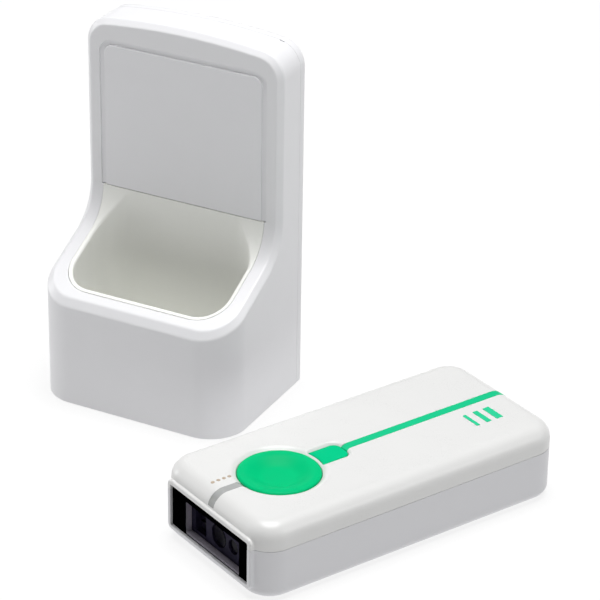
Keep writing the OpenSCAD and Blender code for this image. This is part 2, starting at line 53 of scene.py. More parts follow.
# cradle: x across, y from front to back, z up from the table
CRADLE_W, CRADLE_H = 58.6, 101.0
Y_FRONT, Y_BACK = -21.9, 21.9
Y_FACE, Y_SEAM = 7.0, 17.4          # face of the upright; where the rear cover starts
BASE_FRONT_R, BASE_BACK_R = 10.5, 3.0
RIM_Z, RIM_SLOPE, HOLLOW_R = 30.8, math.radians(25.6), 12.5
EDGE_BAND = 1.5                     # width of the band between the side and the rim or face
TOP_CORNER_R, CROWN_R = 7.4, 190.0
WALL, GAP_UNDER, REAR_GAP = 2.0, 0.4, 0.03
CUP_HW, CUP_R, CUP_Y0, CUP_TOP, CUP_UNDER = 24.4, 8.7, -17.8, 52.0, 7.0
SEAT, FIT = 1.2, 0.06               # how far cup and panel go behind the face; the cup's gap
POCKET_HW, POCKET_R, POCKET_Y0, POCKET_FLOOR = 23.2, 7.5, -16.6, 8.6
LIP_R, LIP_Z, LIP_FADE = 0.7, 50.0, 9.0     # pocket edge radius, fading out below LIP_Z
PLATE_HW, PLATE_TOP, PLATE_R = 23.5, 92.6, 2.5
GROOVE, GROOVE_T = 1.4, 0.42        # width and depth of the groove round the panel
PEG_X, PEG_ZS, PEG_R = 18, (60, 84), 1.5
NOTCH_X, NOTCH_Z, NOTCH_DEPTH = (23.1, 24.5), 92, 0.3
INLET_Z, INLET_HW, INLET_HH = 6.45, 5.2, 2.05
SCREW_HOLE_R, BOARD_HOLE_R, PIN_HOLE_R = 0.95, 0.75, 0.7
PIN_XS, PIN_Y, PIN_TRAVEL = (-7.5, -2.5, 2.5, 7.5), -0.8, 0.62
POSTS = ((-18.5, -7), (18.5, -7), (-18.5, 3.5), (18.5, 3.5))
SEAM_EDGE_R, CUP_EDGE_R, PANEL_EDGE_R = 0.08, 0.07, 0.25

# scanner, in its own frame: x from the window to the back end, z up from its underside
HELD_L, HELD_W, HELD_H, JOINT_Z, HELD_Z0 = 93.3, 44.0, 20.6, 13.9, 0.35
CORNER_R, TOP_R, BOTTOM_R, HELD_WALL, SEAM = 7.2, 4.4, 2.6, 1.6, 0.04
COLLAR, COLLAR_X, COLLAR_HW, COLLAR_Z = 1.1, 0.45, 17.8, (2.7, 16.7)
PANE_HW, PANE_Z = 16.5, (3.8, 15.4)
OPEN_Y, OPEN_LOW, OPEN_HIGH = (-12.2, 10.8), 0.15, 2.2    # clear part of the black frame
CEILING, LEDGE_Z, PCB_TOP = HELD_H - HELD_WALL, 18.3, 15.4
HOLLOW_Z = 18.8                     # deepest that a hollow in the top may reach
TRIG_X, TRIG_R, TRIG_GAP, DISH_W, DISH_DEPTH = 21.5, 10.5, 0.15, 1.2, 0.85
CUPPED_R, CUPPED_Z, CUPPED_RISE = 9.35, 18.53, 1.72       # the trigger's dished face
FLAT_R, FLAT_RISE, BANK_W = 3.9, 0.05, 5.2                # its flat middle and the bank round it
KEY_HW, KEY_X1, KEY_R0, KEY_DEPTH, KEY_W = 3.3, 41.0, 11.5, 0.75, 0.7
LINE_W, LINE_T = 2.5, 0.4
PIPE_W, PIPE_T, STEM_X, STEM_R = 2.3, 0.8, 8.5, 0.8
CUT = 0.6                           # how far a cutting band reaches above the surface
DOT_XS, DOT_Y, DOT_R = (4.9, 6.55, 8.15, 9.75), 4.4, 0.5
BARS = [(75 + 3.2 * k, 1 + 0.5 * k) for k in range(3)]    # x where each bar starts, its width
BAR_Y, BAR_HL, BAR_SINK = -7.5, 3.0, 0.15
CASE_POSTS = ((10.5, -16), (10.5, 16), (86.3, -16), (86.3, 16))
BOARD_POSTS = ((48, -14.5), (48, 14.5), (76, 0))
ROOTED = 0.3                        # how far a post reaches into the ceiling it grows from
JOINT_EDGE_R, OPENING_EDGE_R, INLAY_EDGE_R = 0.1, 0.2, 0.05
KEY_GAP, THROUGH_Z = 0.1, 10        # a hole in the top is cut down to THROUGH_Z
HELD = (Matrix.Translation((52.92 * MM, -74.71 * MM, 0))
        @ Matrix.Rotation(math.radians(63.35), 4, "Z"))     # where the scanner lies

DIAGONAL = 0.7071                   # for a plane at 45 degrees to two others
GRID_SHIFT = 0.00137                # keeps the grid's planes off the shapes' own flat faces
MAX_SNAP, FLATTEN = 0.05, 0.06      # furthest a crossing is corrected; pull towards the mean
SHARP, BEVEL_FROM = 32, 35          # degrees; steeper edges stay sharp, or are rounded


# ---------------------------------------------------------------- distance-field helpers
def both(*d, r=0.0):
    """Inside all of the shapes, their shared edges rounded by r."""
    if np.ndim(r) == 0 and r <= 0:
        out = d[0]
        for e in d[1:]:
            out = np.maximum(out, e)
        return out
    top, square = d[0] + r, np.maximum(d[0] + r, 0) ** 2
    for e in d[1:]:
        top = np.maximum(top, e + r)
        square = square + np.maximum(e + r, 0) ** 2
    return np.minimum(top, 0) + np.sqrt(square) - r


def either(a, b, r=0.0):
    """Inside one or the other, the hollow edge between them filled by r."""
    return -both(-a, -b, r=r)


def without(a, b, r=0.0):
    """Inside a but not b, the edges of the cut rounded by r."""
    return both(a, -b, r=r)


def slab(v, lo, hi):
    """Where v lies between lo and hi."""
    return np.abs(v - (lo + hi) / 2) - (hi - lo) / 2


def rounded(px, py, hx, hy, r_low, r_high=None):
    """Rectangle centred on the origin; r_low rounds the corners on the low py side."""
    r = r_low if r_high is None else np.where(py < 0, r_low, r_high)
    qx, qy = np.abs(px) - hx + r, np.abs(py) - hy + r
    return np.minimum(np.maximum(qx, qy), 0) + np.hypot(np.maximum(qx, 0), np.maximum(qy, 0)) - r


def disc(px, py, r):
    return np.hypot(px, py) - r


# ---------------------------------------------------------------- meshing
def ticks(lo, hi, step, *fine):
    """Grid positions from lo to hi, step apart, or closer where fine gives (from, to, step)."""
    cuts = sorted({lo, hi, *(min(max(v, lo), hi) for f in fine for v in f[:2])})
    out = [lo]
    for a, b in zip(cuts, cuts[1:]):
        s = min([step] + [f[2] for f in fine if f[0] <= (a + b) / 2 <= f[1]])
        n = max(1, round((b - a) / s))
        out += [a + (b - a) * (i + 1) / n for i in range(n)]
    return np.array(out) + GRID_SHIFT


def slope(field, p, h=2e-3):
    """Gradient of field at the points p."""
    g = np.empty_like(p)
    for a in range(3):
        lo, hi = p.copy(), p.copy()
        lo[:, a] -= h
        hi[:, a] += h
        g[:, a] = field(*hi.T) - field(*lo.T)
    return g / (2 * h)


def contour(field, xs, ys, zs):
    """Vertices and quads of the surface where field is 0, with sharp edges kept."""
    axes = (xs, ys, zs)
    v = np.broadcast_to(field(xs[:, None, None], ys[None, :, None], zs[None, None, :]),
                        (len(xs), len(ys), len(zs)))
    inside = v < 0
    # every grid edge that crosses the surface gives a point on it, and a quad of four cells
    points, cells, flips = [], [], []
    stride = (len(ys) * len(zs), len(zs), 1)
    for a in range(3):
        lo = [slice(None)] * 3
        hi = [slice(None)] * 3
        lo[a], hi[a] = slice(None, -1), slice(1, None)
        crossing = inside[tuple(lo)] != inside[tuple(hi)]
        at = np.array(np.nonzero(crossing)).T
        up = at.copy()
        up[:, a] += 1
        v0, v1 = v[tuple(at.T)], v[tuple(up.T)]
        p = np.stack([axes[k][at[:, k]] for k in range(3)], 1).astype(float)
        t = v0 / (v0 - v1)
        p[:, a] += t * (axes[a][up[:, a]] - axes[a][at[:, a]])
        b, c = (a + 1) % 3, (a + 2) % 3
        base = at @ np.array(stride)
        cells.append(np.stack([base - stride[b] - stride[c], base - stride[c], base,
                               base - stride[b]], 1))
        points.append(p)
        flips.append(v0 > v1)
    p, cell, flip = np.concatenate(points), np.concatenate(cells), np.concatenate(flips)
    # the surface's direction at each point, and the point corrected onto the surface
    n = slope(field, p)
    size = np.maximum(np.linalg.norm(n, axis=1, keepdims=True), 1e-6)
    n /= size
    p -= n * (field(*p.T)[:, None] / size).clip(-MAX_SNAP, MAX_SNAP)
    # one vertex per cell, where the planes through its points meet, kept inside the cell
    names, index = np.unique(cell.ravel(), return_inverse=True)
    index = index.reshape(-1, 4)
    count = len(names)
    who = index.ravel()
    pn, nn = np.repeat(p, 4, 0), np.repeat(n, 4, 0)
    total = np.bincount(who, minlength=count).astype(float)
    mean = np.stack([np.bincount(who, pn[:, k], count) for k in range(3)], 1) / total[:, None]
    away = np.einsum("ij,ij->i", nn, pn - mean[who])
    ata = np.empty((count, 3, 3))
    for i in range(3):
        for j in range(3):
            ata[:, i, j] = np.bincount(who, nn[:, i] * nn[:, j], count)
    atb = np.stack([np.bincount(who, nn[:, k] * away, count) for k in range(3)], 1)
    ata += np.eye(3) * (FLATTEN * total)[:, None, None]
    move = np.linalg.solve(ata, atb[:, :, None])[:, :, 0]
    i, rest = np.divmod(names, stride[0])
    j, k = np.divmod(rest, stride[1])
    co = mean + move
    for a, at in enumerate((i, j, k)):
        lo, hi = axes[a][at], axes[a][np.minimum(at + 1, len(axes[a]) - 1)]
        co[:, a] = np.clip(co[:, a], lo, hi)
    quads = index.copy()
    quads[flip] = quads[flip][:, ::-1]
    return co, quads


def make(name, co, faces, place=None, smooth=True):
    """A mesh object from points in mm and equal-length faces, in the row frame."""
    mesh = bpy.data.meshes.new(name)
    co = np.asarray(co, float) * MM
    if isinstance(faces, np.ndarray):
        n = faces.shape[1]
        mesh.vertices.add(len(co))
        mesh.vertices.foreach_set("co", co.astype(np.float32).ravel())
        mesh.loops.add(faces.size)
        mesh.loops.foreach_set("vertex_index", faces.astype(np.int32).ravel())
        mesh.polygons.add(len(faces))
        mesh.polygons.foreach_set("loop_start", np.arange(0, faces.size, n, dtype=np.int32))
        mesh.update(calc_edges=True)
        mesh.validate()
    else:
        mesh.from_pydata(co.tolist(), [], faces)
    if place is not None:
        mesh.transform(place)
    piece = bpy.data.objects.new(name, mesh)
    bpy.context.scene.collection.objects.link(piece)
    if smooth:
        soften(piece)
    return piece


def soften(piece, sharp=SHARP):
    """Smooth shading that keeps flat faces flat and sharp edges sharp."""
    piece.data.shade_smooth()
    piece.data.set_sharp_from_angle(angle=math.radians(sharp))
    weighted = piece.modifiers.new("even_normals", "WEIGHTED_NORMAL")
    weighted.keep_sharp = True
    weighted.weight = 60


def arc(cx, cy, r, a0, a1, n=8):
    """n + 1 points on a circle, from angle a0 to a1 in degrees."""
    return [(cx + r * math.cos(math.radians(a0 + (a1 - a0) * i / n)),
             cy + r * math.sin(math.radians(a0 + (a1 - a0) * i / n))) for i in range(n + 1)]


def lathe(name, profile, at, place, steps=128):
    """Turns a closed half-profile of (radius, z) about a vertical axis at (x, y)."""
    co, rings = [], []
    for r, z in profile:
        if r < 1e-6:
            rings.append([len(co)] * steps)
            co.append((at[0], at[1], z))
        else:
            rings.append(list(range(len(co), len(co) + steps)))
            co += [(at[0] + r * math.cos(2 * math.pi * i / steps),
                    at[1] + r * math.sin(2 * math.pi * i / steps), z) for i in range(steps)]
    faces = []
    for a, b in zip(rings, rings[1:] + rings[:1]):
        for i in range(steps):
            j = (i + 1) % steps
            face = [a[i], a[j], b[j], b[i]]
            face = [v for k, v in enumerate(face) if v != face[k - 1]]
            if len(face) > 2:
                faces.append(face)
    return make(name, co, faces, place)


def extrude_y(name, outline, half_w, place, bevel):
    """A flat X-Z outline (anticlockwise) given a width along Y, its edges rounded."""
    n = len(outline)
    co = [(x, -half_w, z) for x, z in outline] + [(x, half_w, z) for x, z in outline]
    faces = [list(range(n)), list(range(2 * n - 1, n - 1, -1))]
    faces += [[(i + 1) % n, i, n + i, n + (i + 1) % n] for i in range(n)]
    piece = make(name, co, faces, place, smooth=False)
    round_edges(piece, bevel)
    soften(piece)
    return piece


def round_edges(piece, width):
    mod = piece.modifiers.new("rounded_edges", "BEVEL")
    mod.width = width * MM
    mod.segments = 2
    mod.limit_method = "ANGLE"
    mod.angle_limit = math.radians(BEVEL_FROM)
    mod.use_clamp_overlap = True


def round_rect(hx, hy, r):
    """Points round a rectangle centred on the origin, its corners rounded by r."""
    out = []
    for sx, sy, a in ((1, 1, 0), (-1, 1, 90), (-1, -1, 180), (1, -1, 270)):
        out += arc(sx * (hx - r), sy * (hy - r), r, a, a + 90, 5)
    return out


def prism(name, loop, z0, z1, place):
    """A flat X-Y outline (anticlockwise) given a height."""
    n = len(loop)
    co = [(x, y, z0) for x, y in loop] + [(x, y, z1) for x, y in loop]
    faces = [list(range(n - 1, -1, -1)), list(range(n, 2 * n))]
    faces += [[i, (i + 1) % n, n + (i + 1) % n, n + i] for i in range(n)]
    return make(name, co, faces, place)


def join(first, *others):
    """Adds the meshes of others to first, as separate closed parts of one piece."""
    bm = bmesh.new()
    for o in (first, *others):
        bm.from_mesh(o.data)
    bm.to_mesh(first.data)
    bm.free()
    for o in others:
        bpy.data.objects.remove(o)
    first.data.shade_smooth()
    first.data.set_sharp_from_angle(angle=math.radians(SHARP))


# ---------------------------------------------------------------- cradle shapes
# centre of the hollow curve between rim and face, and centres of the crown's curves
CY = Y_FACE - HOLLOW_R
TAN, COS, SIN = math.tan(RIM_SLOPE), math.cos(RIM_SLOPE), math.sin(RIM_SLOPE)
CZ = RIM_Z + (CY - Y_FRONT) * TAN + HOLLOW_R / COS
CORNER_X = CRADLE_W / 2 - TOP_CORNER_R
CROWN_Z = CRADLE_H - CROWN_R
CORNER_Z = CROWN_Z + math.sqrt((CROWN_R - TOP_CORNER_R) ** 2 - CORNER_X ** 2)


def side_field(y, z):
    """Rim, hollow curve and face of the upright."""
    rim = (z - RIM_Z - (y - Y_FRONT) * TAN) * COS
    face = Y_FACE - y
    qy, qz = y - CY, z - CZ
    in_turn = (SIN * qz + COS * qy >= 0) & (qz <= 0)
    return np.where(in_turn, HOLLOW_R - np.hypot(qy, qz), np.minimum(rim, face))


def crown_field(x, z):
    """Front outline of the cradle: straight sides, rounded corners, crowned top."""
    qx, qz = np.abs(x) - CORNER_X, z - CORNER_Z
    corner = np.hypot(qx, qz) - TOP_CORNER_R
    crown = np.hypot(x, z - CROWN_Z) - CROWN_R
    ray = qx * (CORNER_Z - CROWN_Z) - qz * CORNER_X
    return np.where(qz < 0, np.abs(x) - CRADLE_W / 2, np.where(ray > 0, corner, crown))


def envelope(x, y, z, o=0.0, r=0.2):
    """Whole cradle, set in by o: crowned front outline, rounded plan, rim and upright."""
    o += INSET
    outline = crown_field(x, z) + o
    front = both(outline, Y_FRONT - y + o, r=BASE_FRONT_R - o)
    back = both(outline, y - Y_BACK + o, r=BASE_BACK_R - min(o, BASE_BACK_R - 0.4))
    plan, side = np.maximum(front, back), side_field(y, z) + o
    return both(plan, side, (plan + side + EDGE_BAND) * DIAGONAL, r=r)


def cup_plan(x, y, g=0.0):
    """Plan of the cup, larger by g."""
    y1 = Y_FACE + SEAT + g
    y0 = CUP_Y0 - g
    return rounded(x, y - (y0 + y1) / 2, CUP_HW + g, (y1 - y0) / 2, CUP_R, 0.5)


def panel_field(x, z, g):
    """Raised panel's outline in X-Z, larger by g, rounded only at the top corners."""
    z1 = PLATE_TOP + g
    r = PLATE_R + g
    hw = PLATE_HW + g
    qx, qz = np.abs(x) - hw + r, z - z1 + r
    top = np.hypot(np.maximum(qx, 0), np.maximum(qz, 0)) + np.minimum(np.maximum(qx, qz), 0) - r
    return np.maximum(top, CUP_TOP - z)


def cradle_shell_field(x, y, z):
    """Housing: hollow, with room for cup and panel, the cover's notch and the base's ledges."""
    f = both(envelope(x, y, z), y - Y_SEAM + REAR_GAP, GAP_UNDER - z, r=SEAM_EDGE_R)
    f = without(f, envelope(x, y, z, WALL, 0.6))
    cup_space = both(cup_plan(x, y, FIT), z - CUP_TOP, y - Y_FACE - (SEAT + 0.2))
    f = without(f, cup_space, r=CUP_EDGE_R)
    recess = both(panel_field(x, z, GROOVE), y - Y_FACE - SEAT)
    f = without(f, recess, r=PANEL_EDGE_R)
    notch = both(slab(x, *NOTCH_X), slab(y, Y_SEAM - 0.5, Y_SEAM + 1), NOTCH_Z - z,
                 -crown_field(x, z) - NOTCH_DEPTH)
    f = without(f, notch, r=SEAM_EDGE_R)
    for z0 in PEG_ZS:
        f = without(f, both(disc(np.abs(x) - PEG_X, z - z0, PEG_R + 0.1), slab(y, 7, 12)))
    ledge = both(slab(np.abs(x), 26, 27.4), slab(y, -8, 8), slab(z, 2.4, 3.9))
    return np.minimum(f, ledge)


def cup_field(x, y, z):
    """Cup with its open pocket, holes for the pins and screw posts under its floor."""
    body = both(cup_plan(x, y), side_field(y, z), z - CUP_TOP, r=CUP_EDGE_R)
    body = both(body, CUP_UNDER - z)
    pocket = rounded(x, y - (POCKET_Y0 + Y_FACE) / 2, POCKET_HW, (Y_FACE - POCKET_Y0) / 2,
                     POCKET_R)
    lip = LIP_R * np.clip((LIP_Z - z) / LIP_FADE, 0.02, 1.0)
    pocket = both(pocket, POCKET_FLOOR - z, r=1.2)
    f = without(body, pocket, r=lip)
    for px in PIN_XS:
        f = without(f, both(disc(x - px, y - PIN_Y, PIN_HOLE_R), slab(z, 5, 12)))
    for px, py in POSTS:
        q = disc(x - px, y - py, 0)
        f = either(f, both(q - 2.4, slab(z, 2.4, 7.2)))
        f = without(f, both(q - SCREW_HOLE_R, slab(z, 0, 6.4)))
    return f


def plate_field(x, y, z):
    """Raised panel on a wider base that forms the groove's floor, with pegs behind."""
    raised = both(panel_field(x, z, 0), slab(y, Y_FACE, Y_FACE + 1.0), r=PANEL_EDGE_R)
    base = both(panel_field(x, z, GROOVE - 0.012), slab(y, Y_FACE + GROOVE_T, Y_FACE + 1.16))
    f = both(either(raised, base, r=0.15), CUP_TOP + 0.2 - z, r=0.05)
    for z0 in PEG_ZS:
        q = disc(np.abs(x) - PEG_X, z - z0, PEG_R)
        f = either(f, both(q, slab(y, 8, 10.4)))
        f = either(f, both(q - 0.4, slab(y, 9.5, 10.4), r=0.2))
    return f


def rear_field(x, y, z):
    """Back cover: a shallow tray with the power inlet's opening."""
    f = both(envelope(x, y, z), Y_SEAM + REAR_GAP - y, GAP_UNDER - z, r=SEAM_EDGE_R)
    inner = both(crown_field(x, z) + 1.8, 2.2 - z, y - Y_SEAM - 1.2, r=0.3)
    f = without(f, inner)
    hole = rounded(x, z - INLET_Z, INLET_HW, INLET_HH, 1.0)
    return without(f, both(hole, slab(y, Y_SEAM - 1, Y_BACK + 4)), r=0.3)


# ---------------------------------------------------------------- scanner shapes
def soft_box(x, y, z, o=0.0):
    """Scanner's body without its collar, set in by o."""
    o, mid = o + INSET, (COLLAR + HELD_L) / 2
    plan = rounded(x - mid, y, (HELD_L - COLLAR) / 2 - o, HELD_W / 2 - o, CORNER_R - o)
    r_top, r_low = TOP_R - o, BOTTOM_R - o
    top = both(plan, z - HELD_H + o, r=r_top)
    low = both(plan, HELD_Z0 + o - z, r=r_low)
    return np.where(z > 8, top, low)


def collar_field(x, y, z):
    """Raised block round the window, at the scanner's front end."""
    z0, z1 = COLLAR_Z
    frame_yz = rounded(y, z - (z0 + z1) / 2, COLLAR_HW, (z1 - z0) / 2, 1.7)
    return both(frame_yz, slab(x, COLLAR_X, 4.0), r=0.45)


def held_outside(x, y, z):
    return either(soft_box(x, y, z), collar_field(x, y, z), r=0.25)


def window_field(x, y, z):
    z0, z1 = PANE_Z
    return both(rounded(y, z - (z0 + z1) / 2, PANE_HW, (z1 - z0) / 2, 0.4), slab(x, -2, 4.0))


def key_plan(x, y):
    """Plan of the key, hollow towards the trigger and rounded at its other end."""
    end = both(np.abs(y) - KEY_HW, x - KEY_X1, r=2.2)
    return both(end, KEY_R0 - np.hypot(x - TRIG_X, y), TRIG_X - x, r=0.25)


def funnel(d, z, wide, deep):
    """Space above a slope that falls by deep over the distance wide towards d = 0."""
    return ((d - wide) * deep + (HELD_H - z) * wide) / math.hypot(wide, deep)


# the accent line climbs by LINE_DROP from its start at the key to the top face
LINE_X0, LINE_X1, LINE_DROP = KEY_X1 + 0.1, KEY_X1 + 1.9, 0.6


def line_path(x, z, t, o):
    """Accent line in X-Z: up the ramp, along the top, over the back edge."""
    cx, cz = HELD_L - TOP_R, HELD_H - TOP_R     # centre of the back edge's rounding
    outer = np.where((x > cx) & (z > cz), np.hypot(x - cx, z - cz) - TOP_R,
                     np.maximum(x - HELD_L, z - HELD_H))
    ramp = z - HELD_H - np.minimum(0, (x - LINE_X1) * (LINE_DROP / (LINE_X1 - LINE_X0)))
    outer = np.where(x < KEY_X1 + 3.5, ramp, outer)
    return np.maximum(np.maximum(np.abs(outer + (t - o) / 2) - (t + o) / 2, LINE_X0 - x),
                      JOINT_Z + 0.1 - z)


# the light pipe goes down by PIPE_FALL per mm from PIPE_X0 to its end at the trigger, and
# stops PIPE_END degrees round the front edge's rounding
PIPE_X0, PIPE_X1 = TRIG_X - TRIG_R - TRIG_GAP - DISH_W, TRIG_X - TRIG_R - 0.25
PIPE_END, PIPE_FALL = 168, DISH_DEPTH / DISH_W


def pipe_path(x, z, t, o, x1):
    """Light pipe in X-Z, over the front edge, along the top and down the trigger's hollow."""
    cx, cz = COLLAR + TOP_R, HELD_H - TOP_R
    outer = np.where(x < cx, np.hypot(x - cx, z - cz) - TOP_R,
                     z - HELD_H + np.maximum(0, x - PIPE_X0) * PIPE_FALL)
    band = np.abs(outer + (t - o) / 2) - (t + o) / 2
    end = math.radians(PIPE_END)
    low = -(x - cx) * math.sin(end) + (z - cz) * math.cos(end)
    return np.maximum(np.maximum(band, x - x1), np.where(z > cz, low, 1.0))


def top_field(x, y, z):
    """Upper shell: hollow, with recesses and holes for trigger, key, line, pipe and lenses."""
    f = both(held_outside(x, y, z), JOINT_Z + SEAM - z, r=JOINT_EDGE_R)
    rt = np.hypot(x - TRIG_X, y)
    # the ceiling is thicker round the trigger and the key, which bear against its underside
    inner = soft_box(x, y, z, HELD_WALL)
    ring = both(rt - 14, LEDGE_Z - z)
    bar = both(slab(x, TRIG_X, KEY_X1 + 2.4), slab(y, -6, 6), LEDGE_Z - z)
    inner = without(without(inner, ring), bar)
    f = without(f, inner)
    f = without(f, window_field(x, y, z), r=OPENING_EDGE_R)
    hollow = both(funnel(rt - TRIG_R - TRIG_GAP, z, DISH_W, DISH_DEPTH), HOLLOW_Z - z)
    key_d = key_plan(x, y)
    key_hollow = both(funnel(key_d - KEY_GAP, z, KEY_W, KEY_DEPTH), HOLLOW_Z - z, 26 - x)
    f = without(f, np.minimum(hollow, key_hollow), r=0.35)
    f = without(f, both(rt - TRIG_R - 0.1, THROUGH_Z - z), r=0.12)
    f = without(f, both(key_d - KEY_GAP, THROUGH_Z - z), r=0.1)
    line = line_path(x, z, LINE_T, CUT)
    f = without(f, both(line, np.abs(y) - LINE_W / 2), r=INLAY_EDGE_R)
    pipe = pipe_path(x, z, PIPE_T, CUT, PIPE_X1 + 0.3)
    f = without(f, both(pipe, np.abs(y) - PIPE_W / 2), r=INLAY_EDGE_R)
    f = without(f, both(disc(x - STEM_X, y, STEM_R), slab(z, THROUGH_Z, 20)))
    for px in DOT_XS:
        f = without(f, both(disc(x - px, y - DOT_Y, DOT_R), THROUGH_Z - z))
    for x0, w in BARS:
        f = without(f, both(slab(x, x0, x0 + w), slab(y, BAR_Y - BAR_HL, BAR_Y + BAR_HL),
                            HELD_H - BAR_SINK - z))
    for px, py in CASE_POSTS:
        q = disc(x - px, y - py, 0)
        f = either(f, both(q - 2.3, slab(z, 10.1, CEILING + ROOTED)))
        f = without(f, both(q - SCREW_HOLE_R, slab(z, 9, 15.1)))
    for px, py in BOARD_POSTS:
        q = disc(x - px, y - py, 0)
        f = either(f, both(q - 1.9, slab(z, PCB_TOP, CEILING + ROOTED)))
        f = without(f, both(q - BOARD_HOLE_R, slab(z, 14, 18)))
    return f


def bottom_field(x, y, z):
    """Lower shell: hollow, with sunk screw holes below and contact holes in its back end."""
    f = both(held_outside(x, y, z), z - JOINT_Z + SEAM, r=JOINT_EDGE_R)
    f = without(f, soft_box(x, y, z, HELD_WALL))
    f = without(f, window_field(x, y, z), r=OPENING_EDGE_R)
    for px, py in CASE_POSTS:
        q = disc(x - px, y - py, 0)
        f = either(f, both(q - 2.8, slab(z, 1.4, 10)))
        hole = np.minimum(both(q - 3.0, z - 0.8), both(q - 2.0, z - 2.1))
        f = without(f, np.minimum(hole, both(q - 1.1, z - 12)))
    for py in PIN_XS:
        f = without(f, both(disc(y - py, z - 7, 1.3), 80 - x), r=0.15)
    return f


def mask_field(x, y, z):
    """Thin black frame on the back of the pane."""
    z0, z1 = PANE_Z
    mid, high = (z0 + z1) / 2, (z1 - z0) / 2
    f = both(rounded(y, z - mid, PANE_HW - 0.05, high - 0.05, 0.35), slab(x, 1.15, 1.35))
    return without(f, both(slab(y, *OPEN_Y), slab(z, z0 + OPEN_LOW, z1 - OPEN_HIGH),
                           slab(x, -1, 4)))


def gasket_field(x, y, z):
    """Foam ring between the black frame and the scan engine."""
    z0, z1 = PANE_Z
    f = both(slab(y, -14.1, 14.1), slab(z, z0 + 0.1, z1 - 0.5), slab(x, 1.4, 3.2), r=0.1)
    hole = both(slab(y, -12.4, 11.0), slab(z, z0 + 0.5, z1 - 1.9), slab(x, 0, 6), r=0.4)
    return without(f, hole, r=0.15)


def key_field(x, y, z):
    """Key: cap, the flange that holds it under the shell, and the nub over its plunger."""
    cap = both(key_plan(x, y), z - (HELD_H - 0.5), r=0.35)
    cap = both(cap, LEDGE_Z - 0.05 - z)
    flange = both(slab(x, TRIG_X + 13, KEY_X1 + 0.6), slab(y, -KEY_HW - 0.6, KEY_HW + 0.6),
                  slab(z, LEDGE_Z - 0.75, LEDGE_Z))
    nub = both(disc(x - 37, y, 1.2), slab(z, 17.3, 17.8))
    return np.minimum(np.minimum(cap, flange), nub)


# ---------------------------------------------------------------- materials
NOISE_LO, NOISE_HI = 0.3, 0.7       # most of a noise's values lie between these
EDGE_LO, EDGE_HI = 0.52, 0.60       # pointiness where the painted edge highlight starts and where it is full
PLASTIC_IOR, COAT_ROUGH = 1.46, 0.12


